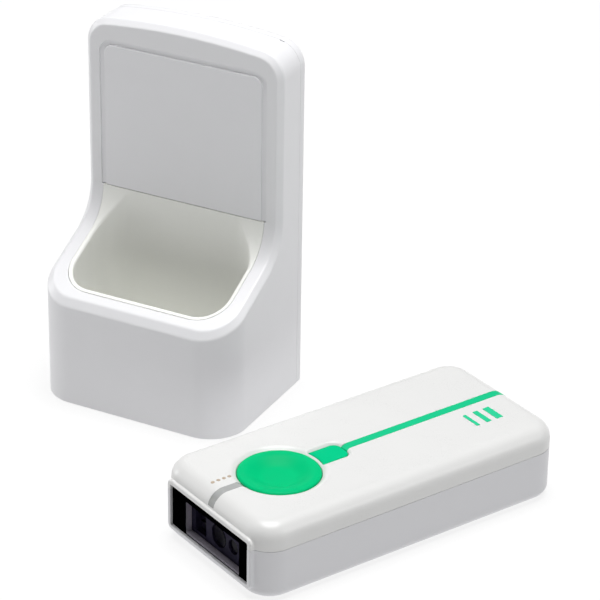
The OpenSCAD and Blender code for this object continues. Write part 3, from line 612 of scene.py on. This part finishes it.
def shader(name, colour, rough, metal=0.0, vary=0.03, vary_size=9.0, grain=0.22, bump=0.006,
           rough_vary=0.06, edge_highlight=0.0, coat=0.0, transmission=0.0, shine=0.5, spread=0.0,
           emission=0.0, alpha=1.0, brushed=None):
    """Moulded or milled surface: colour and roughness drift, fine bump, painted highlight on
    convex edges.

    Sizes are in mm. vary is a share of the colour, rough_vary is added to the roughness, the edge
    highlight amount is how much lighter a painted highlight makes convex edges, and brushed
    stretches the noises along an axis.
    """
    mat = bpy.data.materials.new(name)
    mat.use_nodes = True
    tree = mat.node_tree
    node, link = tree.nodes.new, tree.links.new
    tree.nodes.clear()
    out = node("ShaderNodeOutputMaterial")
    bsdf = node("ShaderNodeBsdfPrincipled")
    link(bsdf.outputs[0], out.inputs[0])
    bsdf.inputs["Metallic"].default_value = metal
    bsdf.inputs["IOR"].default_value = PLASTIC_IOR
    bsdf.inputs["Coat Weight"].default_value = coat
    bsdf.inputs["Coat Roughness"].default_value = COAT_ROUGH
    bsdf.inputs["Transmission Weight"].default_value = transmission
    bsdf.inputs["Specular IOR Level"].default_value = shine
    bsdf.inputs["Alpha"].default_value = alpha
    if spread:
        bsdf.inputs["Subsurface Weight"].default_value = 1.0
        bsdf.inputs["Subsurface Scale"].default_value = spread * MM
        bsdf.inputs["Subsurface Radius"].default_value = (1.0, 1.0, 0.9)
    if emission:
        bsdf.inputs["Emission Color"].default_value = (*colour, 1)
        bsdf.inputs["Emission Strength"].default_value = emission
    where = node("ShaderNodeTexCoord")
    space = where.outputs["Object"]
    if brushed:
        stretch = node("ShaderNodeMapping")
        stretch.inputs["Scale"].default_value = brushed
        link(space, stretch.inputs[0])
        space = stretch.outputs[0]

    def noise(size, detail, roughness=0.5):
        n = node("ShaderNodeTexNoise")
        n.inputs["Scale"].default_value = 1.0 / (size * MM)
        n.inputs["Detail"].default_value = detail
        n.inputs["Roughness"].default_value = roughness
        link(space, n.inputs["Vector"])
        return n.outputs["Fac"]

    def ramp(value, lo, hi):
        m = node("ShaderNodeMapRange")
        m.inputs["From Min"].default_value = NOISE_LO
        m.inputs["From Max"].default_value = NOISE_HI
        m.inputs["To Min"].default_value = lo
        m.inputs["To Max"].default_value = hi
        link(value, m.inputs["Value"])
        return m.outputs["Result"]

    drift = noise(vary_size, 3.0)
    fine = noise(grain, 2.0, 0.6)
    mix = node("ShaderNodeMix")
    mix.data_type = "RGBA"
    mix.inputs["A"].default_value = (*[c * (1 - vary) for c in colour], 1)
    mix.inputs["B"].default_value = (*[min(1, c * (1 + vary)) for c in colour], 1)
    link(ramp(drift, 0, 1), mix.inputs["Factor"])
    tint = mix.outputs["Result"]
    # painted highlight: convex edges made lighter in patches, as if they caught the light
    if edge_highlight:
        edge = node("ShaderNodeNewGeometry").outputs["Pointiness"]
        pick = node("ShaderNodeMapRange")
        pick.inputs["From Min"].default_value = EDGE_LO
        pick.inputs["From Max"].default_value = EDGE_HI
        link(edge, pick.inputs["Value"])
        highlight_amount = node("ShaderNodeMath")
        highlight_amount.operation = "MULTIPLY"
        link(pick.outputs["Result"], highlight_amount.inputs[0])
        link(ramp(noise(1.7, 4.0), 0, edge_highlight), highlight_amount.inputs[1])
        lit_edges = node("ShaderNodeMix")
        lit_edges.data_type = "RGBA"
        lit_edges.inputs["B"].default_value = (*[min(1, c * 1.12 + 0.02) for c in colour], 1)
        link(highlight_amount.outputs[0], lit_edges.inputs["Factor"])
        link(tint, lit_edges.inputs["A"])
        tint = lit_edges.outputs["Result"]
    link(tint, bsdf.inputs["Base Color"])
    level = node("ShaderNodeMath")
    level.operation = "ADD"
    link(ramp(drift, -rough_vary / 6, rough_vary / 6), level.inputs[0])
    link(ramp(fine, rough - rough_vary / 2, rough + rough_vary / 2), level.inputs[1])
    link(level.outputs[0], bsdf.inputs["Roughness"])
    if bump:
        relief = node("ShaderNodeBump")
        relief.inputs["Strength"].default_value = 1.0
        relief.inputs["Distance"].default_value = bump * MM
        link(fine, relief.inputs["Height"])
        link(relief.outputs[0], bsdf.inputs["Normal"])
    return mat


# The white housings and shells get a painted highlight along their convex edges.
LOOKS = {
    "cradle_white": dict(colour=(0.785, 0.785, 0.803), rough=0.36, vary=0.006, edge_highlight=0.4),
    "cup_white": dict(colour=(0.86, 0.865, 0.83), rough=0.5, vary=0.006, grain=0.3, bump=0.010),
    "plate_white": dict(colour=(0.785, 0.785, 0.805), rough=0.48, vary=0.006, grain=0.3,
                        bump=0.010),
    "base_grey": dict(colour=(0.30, 0.30, 0.31), rough=0.55, bump=0.012),
    "pad_rubber": dict(colour=(0.03, 0.03, 0.032), rough=0.8, grain=0.35, bump=0.03, vary=0.2),
    "screw_steel": dict(colour=(0.62, 0.63, 0.65), rough=0.28, metal=1.0, grain=0.1,
                        brushed=(1, 1, 0.15)),
    "circuit_green": dict(colour=(0.02, 0.16, 0.07), rough=0.32, vary=0.25, vary_size=2.2,
                          coat=0.4),
    "inlet_steel": dict(colour=(0.60, 0.61, 0.63), rough=0.3, metal=1.0, brushed=(0.2, 1, 1)),
    "block_black": dict(colour=(0.02, 0.02, 0.022), rough=0.5, vary=0.2),
    "contact_gold": dict(colour=(0.83, 0.61, 0.26), rough=0.22, metal=1.0, grain=0.12),
    "spring_steel": dict(colour=(0.55, 0.56, 0.58), rough=0.3, metal=1.0, grain=0.08),
    "scanner_white": dict(colour=(0.71, 0.71, 0.703), rough=0.30, vary=0.006, edge_highlight=0.4),
    # darker copy of the scanner's white plastic: painted shade for the lower shell's sides
    "scanner_lower": dict(colour=(0.67, 0.67, 0.69), rough=0.36, vary=0.006, edge_highlight=0.3),
    "window_clear": dict(colour=(0.0006, 0.0006, 0.001), rough=0.2, vary=0.04, bump=0.0,
                         rough_vary=0.02, shine=0.0, alpha=0.05),
    "mask_black": dict(colour=(0.0006, 0.0006, 0.0007), rough=0.7, vary=0.2, bump=0.0, shine=0.0),
    "trigger_green": dict(colour=(0.0, 0.483, 0.18), rough=0.42, vary=0.03, grain=0.25,
                          bump=0.008, shine=0.05),
    "plunger_black": dict(colour=(0.03, 0.03, 0.03), rough=0.5, vary=0.2),
    "switch_metal": dict(colour=(0.6, 0.6, 0.62), rough=0.35, metal=1.0),
    "key_green": dict(colour=(0.0, 0.497, 0.212), rough=0.38, vary=0.02, shine=0.05),
    "line_green": dict(colour=(0.008, 0.502, 0.229), rough=0.38, vary=0.02, shine=0.15),
    "pipe_clear": dict(colour=(0.53, 0.54, 0.535), rough=0.2, vary=0.04, transmission=0.3,
                       spread=1.0),
    "led_white": dict(colour=(0.85, 0.83, 0.62), rough=0.35, coat=0.5),
    "lens_amber": dict(colour=(0.46, 0.37, 0.28), rough=0.3, vary=0.15, vary_size=0.5, coat=0.4),
    "print_green": dict(colour=(0.009, 0.555, 0.27), rough=0.5, vary=0.05, vary_size=1.0),
    "gasket_grey": dict(colour=(0.34, 0.315, 0.37), rough=0.85, vary=0.12, vary_size=0.8,
                        grain=0.15, bump=0.03),
    "engine_black": dict(colour=(0.021, 0.018, 0.039), rough=0.5, vary=0.2, shine=0.08),
    "lens_glass": dict(colour=(0.005, 0.004, 0.010), rough=0.12, vary=0.1, bump=0.0,
                       rough_vary=0.02, shine=0.05),
    "battery_wrap": dict(colour=(0.10, 0.20, 0.42), rough=0.3, vary=0.1, coat=0.6),
    "buzzer_black": dict(colour=(0.02, 0.02, 0.02), rough=0.45, vary=0.2),
}
MATS = {name: shader(name, **look) for name, look in LOOKS.items()}

# CAD pieces that stay as they are, with their material, and how much their edges are rounded
SLOT_OF = {
    "base_plate": "base_grey", "base_pad": "pad_rubber", "base_screws": "screw_steel",
    "charging_board": "circuit_green", "power_inlet": "inlet_steel", "pin_block": "block_black",
    "contact_pins": "contact_gold", "pin_springs": "spring_steel", "scan_window": "window_clear",
    "trigger_plunger": "plunger_black", "trigger_switch": "switch_metal",
    "key_plunger": "plunger_black", "key_switch": "switch_metal", "read_led": "led_white",
    "status_lenses": "lens_amber", "status_leds": "led_white", "main_board": "circuit_green",
    "board_screws": "screw_steel", "engine_housing": "engine_black",
    "engine_lens": "lens_glass", "aimer_lens": "lens_glass", "light_leds": "lens_glass",
    "engine_board": "circuit_green", "battery": "battery_wrap", "buzzer": "buzzer_black",
    "charge_contacts": "contact_gold", "contact_board": "circuit_green",
    "case_screws": "screw_steel", "grip_pads": "pad_rubber",
}
BEVELS = {
    "base_plate": 0.2, "base_pad": 0.25, "charging_board": 0.08, "pin_block": 0.15,
    "scan_window": 0.05, "read_led": 0.08, "status_leds": 0.08, "main_board": 0.06,
    "engine_housing": 0.12, "light_leds": 0.15, "engine_board": 0.06, "battery": 0.4,
    "charge_contacts": 0.12, "contact_board": 0.06, "grip_pads": 0.2,
}


def paint(piece, slot):
    """Gives a piece its one material, under that material's slot name."""
    piece.data.materials.clear()
    piece.data.materials.append(MATS[slot])


def fit(piece, body, slot, node):
    """Puts a piece on its body, in place of the CAD node that it replaces."""
    paint(piece, slot)
    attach(piece, body)
    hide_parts(node)


def mould(name, field, xs, ys, zs, body, slot, node, place=None):
    """Makes a piece from its field on a grid, and fits it."""
    fit(make(name, *contour(field, xs, ys, zs), place), body, slot, node)


for node_name, slot_name in SLOT_OF.items():
    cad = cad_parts[node_name]
    paint(cad, slot_name)
    if node_name in BEVELS:
        round_edges(cad, BEVELS[node_name])
    soften(cad, 30)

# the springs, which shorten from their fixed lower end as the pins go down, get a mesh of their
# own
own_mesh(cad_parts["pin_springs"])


# ---------------------------------------------------------------- cradle pieces
# In each grid, (from, to, step) gives a stretch where a seam, edge or curve needs finer steps.
def build_cradle():
    xs = ticks(-29.6, 29.6, 0.8, (-29.6, -22.9, 0.28), (22.9, 29.6, 0.28), (17.0, 21.6, 0.3),
               (-29.6, -16, 0.45), (16, 29.6, 0.45))
    ys = ticks(-22.3, 18.0, 0.6, (-22.3, -16.4, 0.28), (-16.4, -12, 0.45), (5.0, 9.4, 0.22),
               (16.4, 18.0, 0.16))
    zs = ticks(0.0, 101.4, 0.55, (0, 3, 0.25), (51.2, 53, 0.2), (89.5, 101.4, 0.28))
    mould("Cradle_housing", cradle_shell_field, xs, ys, zs, "cradle", "cradle_white",
          "cradle_shell")

    xs = ticks(-24.8, 24.8, 0.7, (-24.8, -21.5, 0.22), (21.5, 24.8, 0.22), (-21.5, -15, 0.4),
               (15, 21.5, 0.4), (-8.6, -1.4, 0.25), (1.4, 8.6, 0.25))
    ys = ticks(-18.2, 8.6, 0.5, (-18.2, -14.8, 0.22), (-2, 0.4, 0.25), (6.4, 8.6, 0.2),
               (-14.8, -9, 0.4))
    zs = ticks(2.0, 52.5, 0.45, (6.4, 10.2, 0.22), (51.2, 52.5, 0.15))
    mould("Cradle_cup", cup_field, xs, ys, zs, "cradle", "cup_white", "cup_liner")

    xs = ticks(-25.3, 25.3, 1.2, (-25.3, -23.0, 0.14), (23.0, 25.3, 0.14), (-23.0, -15.5, 0.4),
               (15.5, 23.0, 0.4))
    ys = ticks(6.6, 10.8, 0.2, (6.6, 8.4, 0.12))
    zs = ticks(51.6, 94.4, 1.2, (51.6, 53.0, 0.14), (89.8, 94.4, 0.14), (57.5, 62.5, 0.4),
               (81.5, 86.5, 0.4))
    mould("Cradle_back_plate", plate_field, xs, ys, zs, "cradle", "plate_white", "back_plate")

    xs = ticks(-29.6, 29.6, 1.0, (-29.6, -25.5, 0.28), (25.5, 29.6, 0.28), (-6, 6, 0.25))
    ys = ticks(17.0, 22.2, 0.3, (17.0, 17.9, 0.15))
    zs = ticks(0.0, 101.4, 1.0, (0, 2.6, 0.25), (3.6, 9.4, 0.25), (89.5, 101.4, 0.3))
    mould("Cradle_rear_cover", rear_field, xs, ys, zs, "cradle", "cradle_white", "rear_cover")


# ---------------------------------------------------------------- scanner pieces
def build_shells():
    xs = ticks(-0.4, 93.7, 0.9, (-0.4, 7.5, 0.24), (8, 35.5, 0.32), (35.5, 45, 0.28),
               (45, 51, 0.45), (73, 79, 0.45), (74.6, 84.0, 0.25), (83, 93.7, 0.4),
               (91.5, 93.7, 0.28))
    ys = ticks(-22.4, 22.4, 0.8, (-22.4, -16.0, 0.32), (16.0, 22.4, 0.32), (-18.4, -12, 0.45),
               (12, 18.4, 0.45), (-13, 13, 0.34), (-4.5, 4.9, 0.2))
    zs = ticks(9.8, 20.9, 0.4, (13.4, 16.6, 0.22), (18.0, 20.9, 0.16))
    mould("Scanner_upper_shell", top_field, xs, ys, zs, "scanner", "scanner_white",
          "top_shell", HELD)

    xs = ticks(-0.4, 93.7, 1.0, (-0.4, 5.5, 0.26), (5.5, 14.0, 0.45), (82, 93.7, 0.4),
               (91.2, 93.7, 0.26))
    ys = ticks(-22.4, 22.4, 1.0, (-22.4, -12.0, 0.35), (12.0, 22.4, 0.35), (-9.2, 9.2, 0.3))
    zs = ticks(0.0, 14.4, 0.4, (0, 4.6, 0.24), (5.4, 8.6, 0.24), (13.2, 14.4, 0.18))
    # the lower shell gets the darker copy of the white, painted shade for its sides
    mould("Scanner_lower_shell", bottom_field, xs, ys, zs, "scanner", "scanner_lower",
          "bottom_shell", HELD)


def build_trigger():
    """Turned button: stem, flange and rounded edge, then the dished face towards its middle."""
    cupped = []
    for r in np.linspace(CUPPED_R, 0, 36):
        t = min(1, max(0, (r - FLAT_R) / BANK_W))
        bowl = FLAT_RISE * (r / FLAT_R) ** 2 * (1 - t)
        cupped.append((r, CUPPED_Z + bowl + CUPPED_RISE * t * t * (3 - 2 * t)))
    profile = ([(0, 17.0), (1.5, 17.0), (1.6, 17.1), (1.6, 18.0), (9.1, 18.0), (9.1, 17.5),
                (11.0, 17.5), (11.1, 17.6), (11.1, 18.15), (11.0, 18.25), (TRIG_R, 18.25)]
               + arc(9.8, 19.55, 0.7, 0, 90) + cupped)
    fit(lathe("Scanner_trigger", profile, (TRIG_X, 0), HELD), "trigger", "trigger_green",
        "trigger_button")


def build_window_and_key():
    xs = ticks(1.05, 1.45, 0.1)
    ys = ticks(-16.8, 16.8, 0.8, (-16.8, -15.8, 0.12), (15.8, 16.8, 0.12), (-12.5, -11.9, 0.12),
               (10.5, 11.1, 0.12))
    zs = ticks(3.6, 15.6, 0.6, (3.6, 4.4, 0.12), (12.9, 13.5, 0.12), (15.0, 15.6, 0.12))
    mould("Scanner_window_frame", mask_field, xs, ys, zs, "scanner", "mask_black",
          "window_mask", HELD)

    xs, ys, zs = ticks(1.2, 3.4, 0.14), ticks(-14.4, 14.4, 0.25), ticks(3.7, 15.1, 0.2)
    mould("Scanner_window_gasket", gasket_field, xs, ys, zs, "scanner", "gasket_grey",
          "window_gasket", HELD)

    xs = ticks(30.6, 42.0, 0.2, (39.0, 41.8, 0.14))
    ys = ticks(-4.2, 4.2, 0.3, (-4.2, -2.2, 0.14), (2.2, 4.2, 0.14))
    zs = ticks(17.1, 20.4, 0.2, (19.6, 20.4, 0.1))
    mould("Scanner_function_key", key_field, xs, ys, zs, "key", "key_green", "function_key",
          HELD)


def build_line_and_pipe():
    cx, cz = HELD_L - TOP_R, HELD_H - TOP_R
    z0 = JOINT_Z + 0.1
    outline = ([(LINE_X0, HELD_H - LINE_DROP), (LINE_X0, HELD_H - LINE_DROP - LINE_T),
                (LINE_X1, HELD_H - LINE_T)] + arc(cx, cz, TOP_R - LINE_T, 90, 0, 20)
               + [(HELD_L - LINE_T, z0), (HELD_L, z0)] + arc(cx, cz, TOP_R, 0, 90, 20)
               + [(LINE_X1, HELD_H)])
    line = extrude_y("Scanner_accent_line", outline, LINE_W / 2, HELD, bevel=0.08)
    fit(line, "scanner", "line_green", "accent_line")

    cx = COLLAR + TOP_R
    drop = (PIPE_X1 - PIPE_X0) * PIPE_FALL
    outline = ([(PIPE_X1, HELD_H - drop), (PIPE_X0, HELD_H)]
               + arc(cx, cz, TOP_R, 90, PIPE_END, 18)
               + arc(cx, cz, TOP_R - PIPE_T, PIPE_END, 90, 18)
               + [(PIPE_X0, HELD_H - PIPE_T), (PIPE_X1, HELD_H - drop - PIPE_T)])
    pipe = extrude_y("Scanner_light_pipe", outline, PIPE_W / 2, HELD, bevel=0.08)
    stem = lathe("Stem", [(0, 16.3), (STEM_R - 0.1, 16.3), (STEM_R, 16.4), (STEM_R, 20.0),
                          (0, 20.0)], (STEM_X, 0), HELD, steps=32)
    join(pipe, stem)
    fit(pipe, "scanner", "pipe_clear", "light_pipe")


def build_bars():
    """Three plain printed bars, a hair thick."""
    bars = []
    for x0, w in BARS:
        loop = [(x0 + w / 2 + px, BAR_Y + py) for px, py in round_rect(w / 2, BAR_HL, 0.22)]
        bars.append(prism("Bar", loop, HELD_H - 0.13, HELD_H, HELD))
    join(*bars)
    bars[0].name = "Scanner_printed_bars"
    fit(bars[0], "scanner", "print_green", "printed_bars")


# ---------------------------------------------------------------- stage (metres and watts)
WORLD_LIGHT, FLOOR_HALF = 0.12, 3000.0     # the floor's half width goes through make(), in mm
LAMPS = (
    # name, place, disc's width, power, what it points at
    ("overhead", (0.05, 0.02, 1.1), 0.8, 14.6, (0.02, -0.02, 0.0)),
    ("left_fill", (-1.3, -0.12, 0.2), 0.5, 3.5, (0.0, -0.05, 0.02)),
    ("right_fill", (1.3, 0.1, 0.6), 0.5, 2.2, (0.0, 0.0, 0.04)),
)
CAMERA_AT = Vector((0.3424248, -0.5903957, 0.3815268))
CAMERA_AIM = Vector((0.0073258, 0.0616364, 0))
CAMERA_ROLL, SENSOR_W, FOCAL = math.radians(0.9), 36.0, 172.74     # sensor and lens in mm


def add_lamp(name, place, size, power, target):
    data = bpy.data.lights.new(name, "AREA")
    data.shape = "DISK"
    data.size = size
    data.energy = power
    lamp = bpy.data.objects.new(name, data)
    lamp.location = place
    aim = Vector(target) - Vector(place)
    lamp.rotation_euler = aim.to_track_quat("-Z", "Y").to_euler()
    bpy.context.scene.collection.objects.link(lamp)


def build_stage():
    scene = bpy.context.scene
    world = bpy.data.worlds.new("studio")
    world.use_nodes = True
    back = world.node_tree.nodes["Background"]
    back.inputs[0].default_value = (1.0, 1.0, 1.0, 1)
    back.inputs[1].default_value = WORLD_LIGHT
    scene.world = world
    for lamp in LAMPS:
        add_lamp(*lamp)

    h = FLOOR_HALF
    floor = make("Floor", [(-h, -h, 0), (h, -h, 0), (h, h, 0), (-h, h, 0)], [[0, 1, 2, 3]],
                 smooth=False)
    floor.data.materials.append(shader("paper", (0.2, 0.2, 0.2), 0.9, vary=0.006, vary_size=60,
                                       grain=0.5, bump=0.01, shine=0.0, emission=3.9))

    cam_data = bpy.data.cameras.new("camera")
    cam_data.sensor_width = SENSOR_W
    cam_data.lens = FOCAL
    cam_data.clip_start, cam_data.clip_end = 0.01, 20.0
    cam = bpy.data.objects.new("camera", cam_data)
    cam.location = CAMERA_AT
    cam.rotation_mode = "QUATERNION"
    turn = (CAMERA_AIM - CAMERA_AT).to_track_quat("-Z", "Y")
    cam.rotation_quaternion = turn @ Quaternion((0, 0, 1), CAMERA_ROLL)
    scene.collection.objects.link(cam)
    scene.camera = cam
    scene.view_settings.view_transform = "Standard"
    scene.view_settings.look = "None"


build_cradle()
build_shells()
build_trigger()
build_window_and_key()
build_line_and_pipe()
build_bars()
build_stage()
